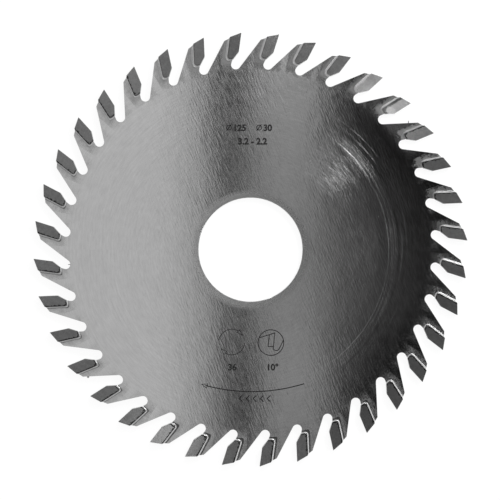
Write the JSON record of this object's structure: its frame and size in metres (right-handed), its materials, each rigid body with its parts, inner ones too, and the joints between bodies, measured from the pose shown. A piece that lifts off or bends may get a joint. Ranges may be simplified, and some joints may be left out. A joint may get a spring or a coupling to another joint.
{
  "type": "grooving saw blade",
  "caption": "Flat round saw blade with a plain centre bore, slanted teeth and square-cut hard tips brazed into seats, for cutting grooves.",
  "frame": {"origin": "centre of the bore, halfway through the plate's thickness", "axes": "+Z along the bore axis, towards the marked face; seen from +Z the blade cuts clockwise; +X points near the first tip's cutting point, 2.43 degrees from it"},
  "size_m": [0.1248, 0.1248, 0.0032],
  "materials": {
    "plate_steel": "fine ground steel with short brush marks",
    "tip_carbide": "ground sintered carbide, dull dark grey",
    "silver_braze": "bright silver solder"
  },
  "bodies": {
    "root": {"saw_plate": "plate_steel", "braze_seams": "silver_braze", "carbide_tip_01": "tip_carbide", "carbide_tip_02": "tip_carbide", "carbide_tip_03": "tip_carbide", "carbide_tip_04": "tip_carbide", "carbide_tip_05": "tip_carbide", "carbide_tip_06": "tip_carbide", "carbide_tip_07": "tip_carbide", "carbide_tip_08": "tip_carbide", "carbide_tip_09": "tip_carbide", "carbide_tip_10": "tip_carbide", "carbide_tip_11": "tip_carbide", "carbide_tip_12": "tip_carbide", "carbide_tip_13": "tip_carbide", "carbide_tip_14": "tip_carbide", "carbide_tip_15": "tip_carbide", "carbide_tip_16": "tip_carbide", "carbide_tip_17": "tip_carbide", "carbide_tip_18": "tip_carbide", "carbide_tip_19": "tip_carbide", "carbide_tip_20": "tip_carbide", "carbide_tip_21": "tip_carbide", "carbide_tip_22": "tip_carbide", "carbide_tip_23": "tip_carbide", "carbide_tip_24": "tip_carbide", "carbide_tip_25": "tip_carbide", "carbide_tip_26": "tip_carbide", "carbide_tip_27": "tip_carbide", "carbide_tip_28": "tip_carbide", "carbide_tip_29": "tip_carbide", "carbide_tip_30": "tip_carbide", "carbide_tip_31": "tip_carbide", "carbide_tip_32": "tip_carbide", "carbide_tip_33": "tip_carbide", "carbide_tip_34": "tip_carbide", "carbide_tip_35": "tip_carbide", "carbide_tip_36": "tip_carbide"}
  },
  "joints": []
}
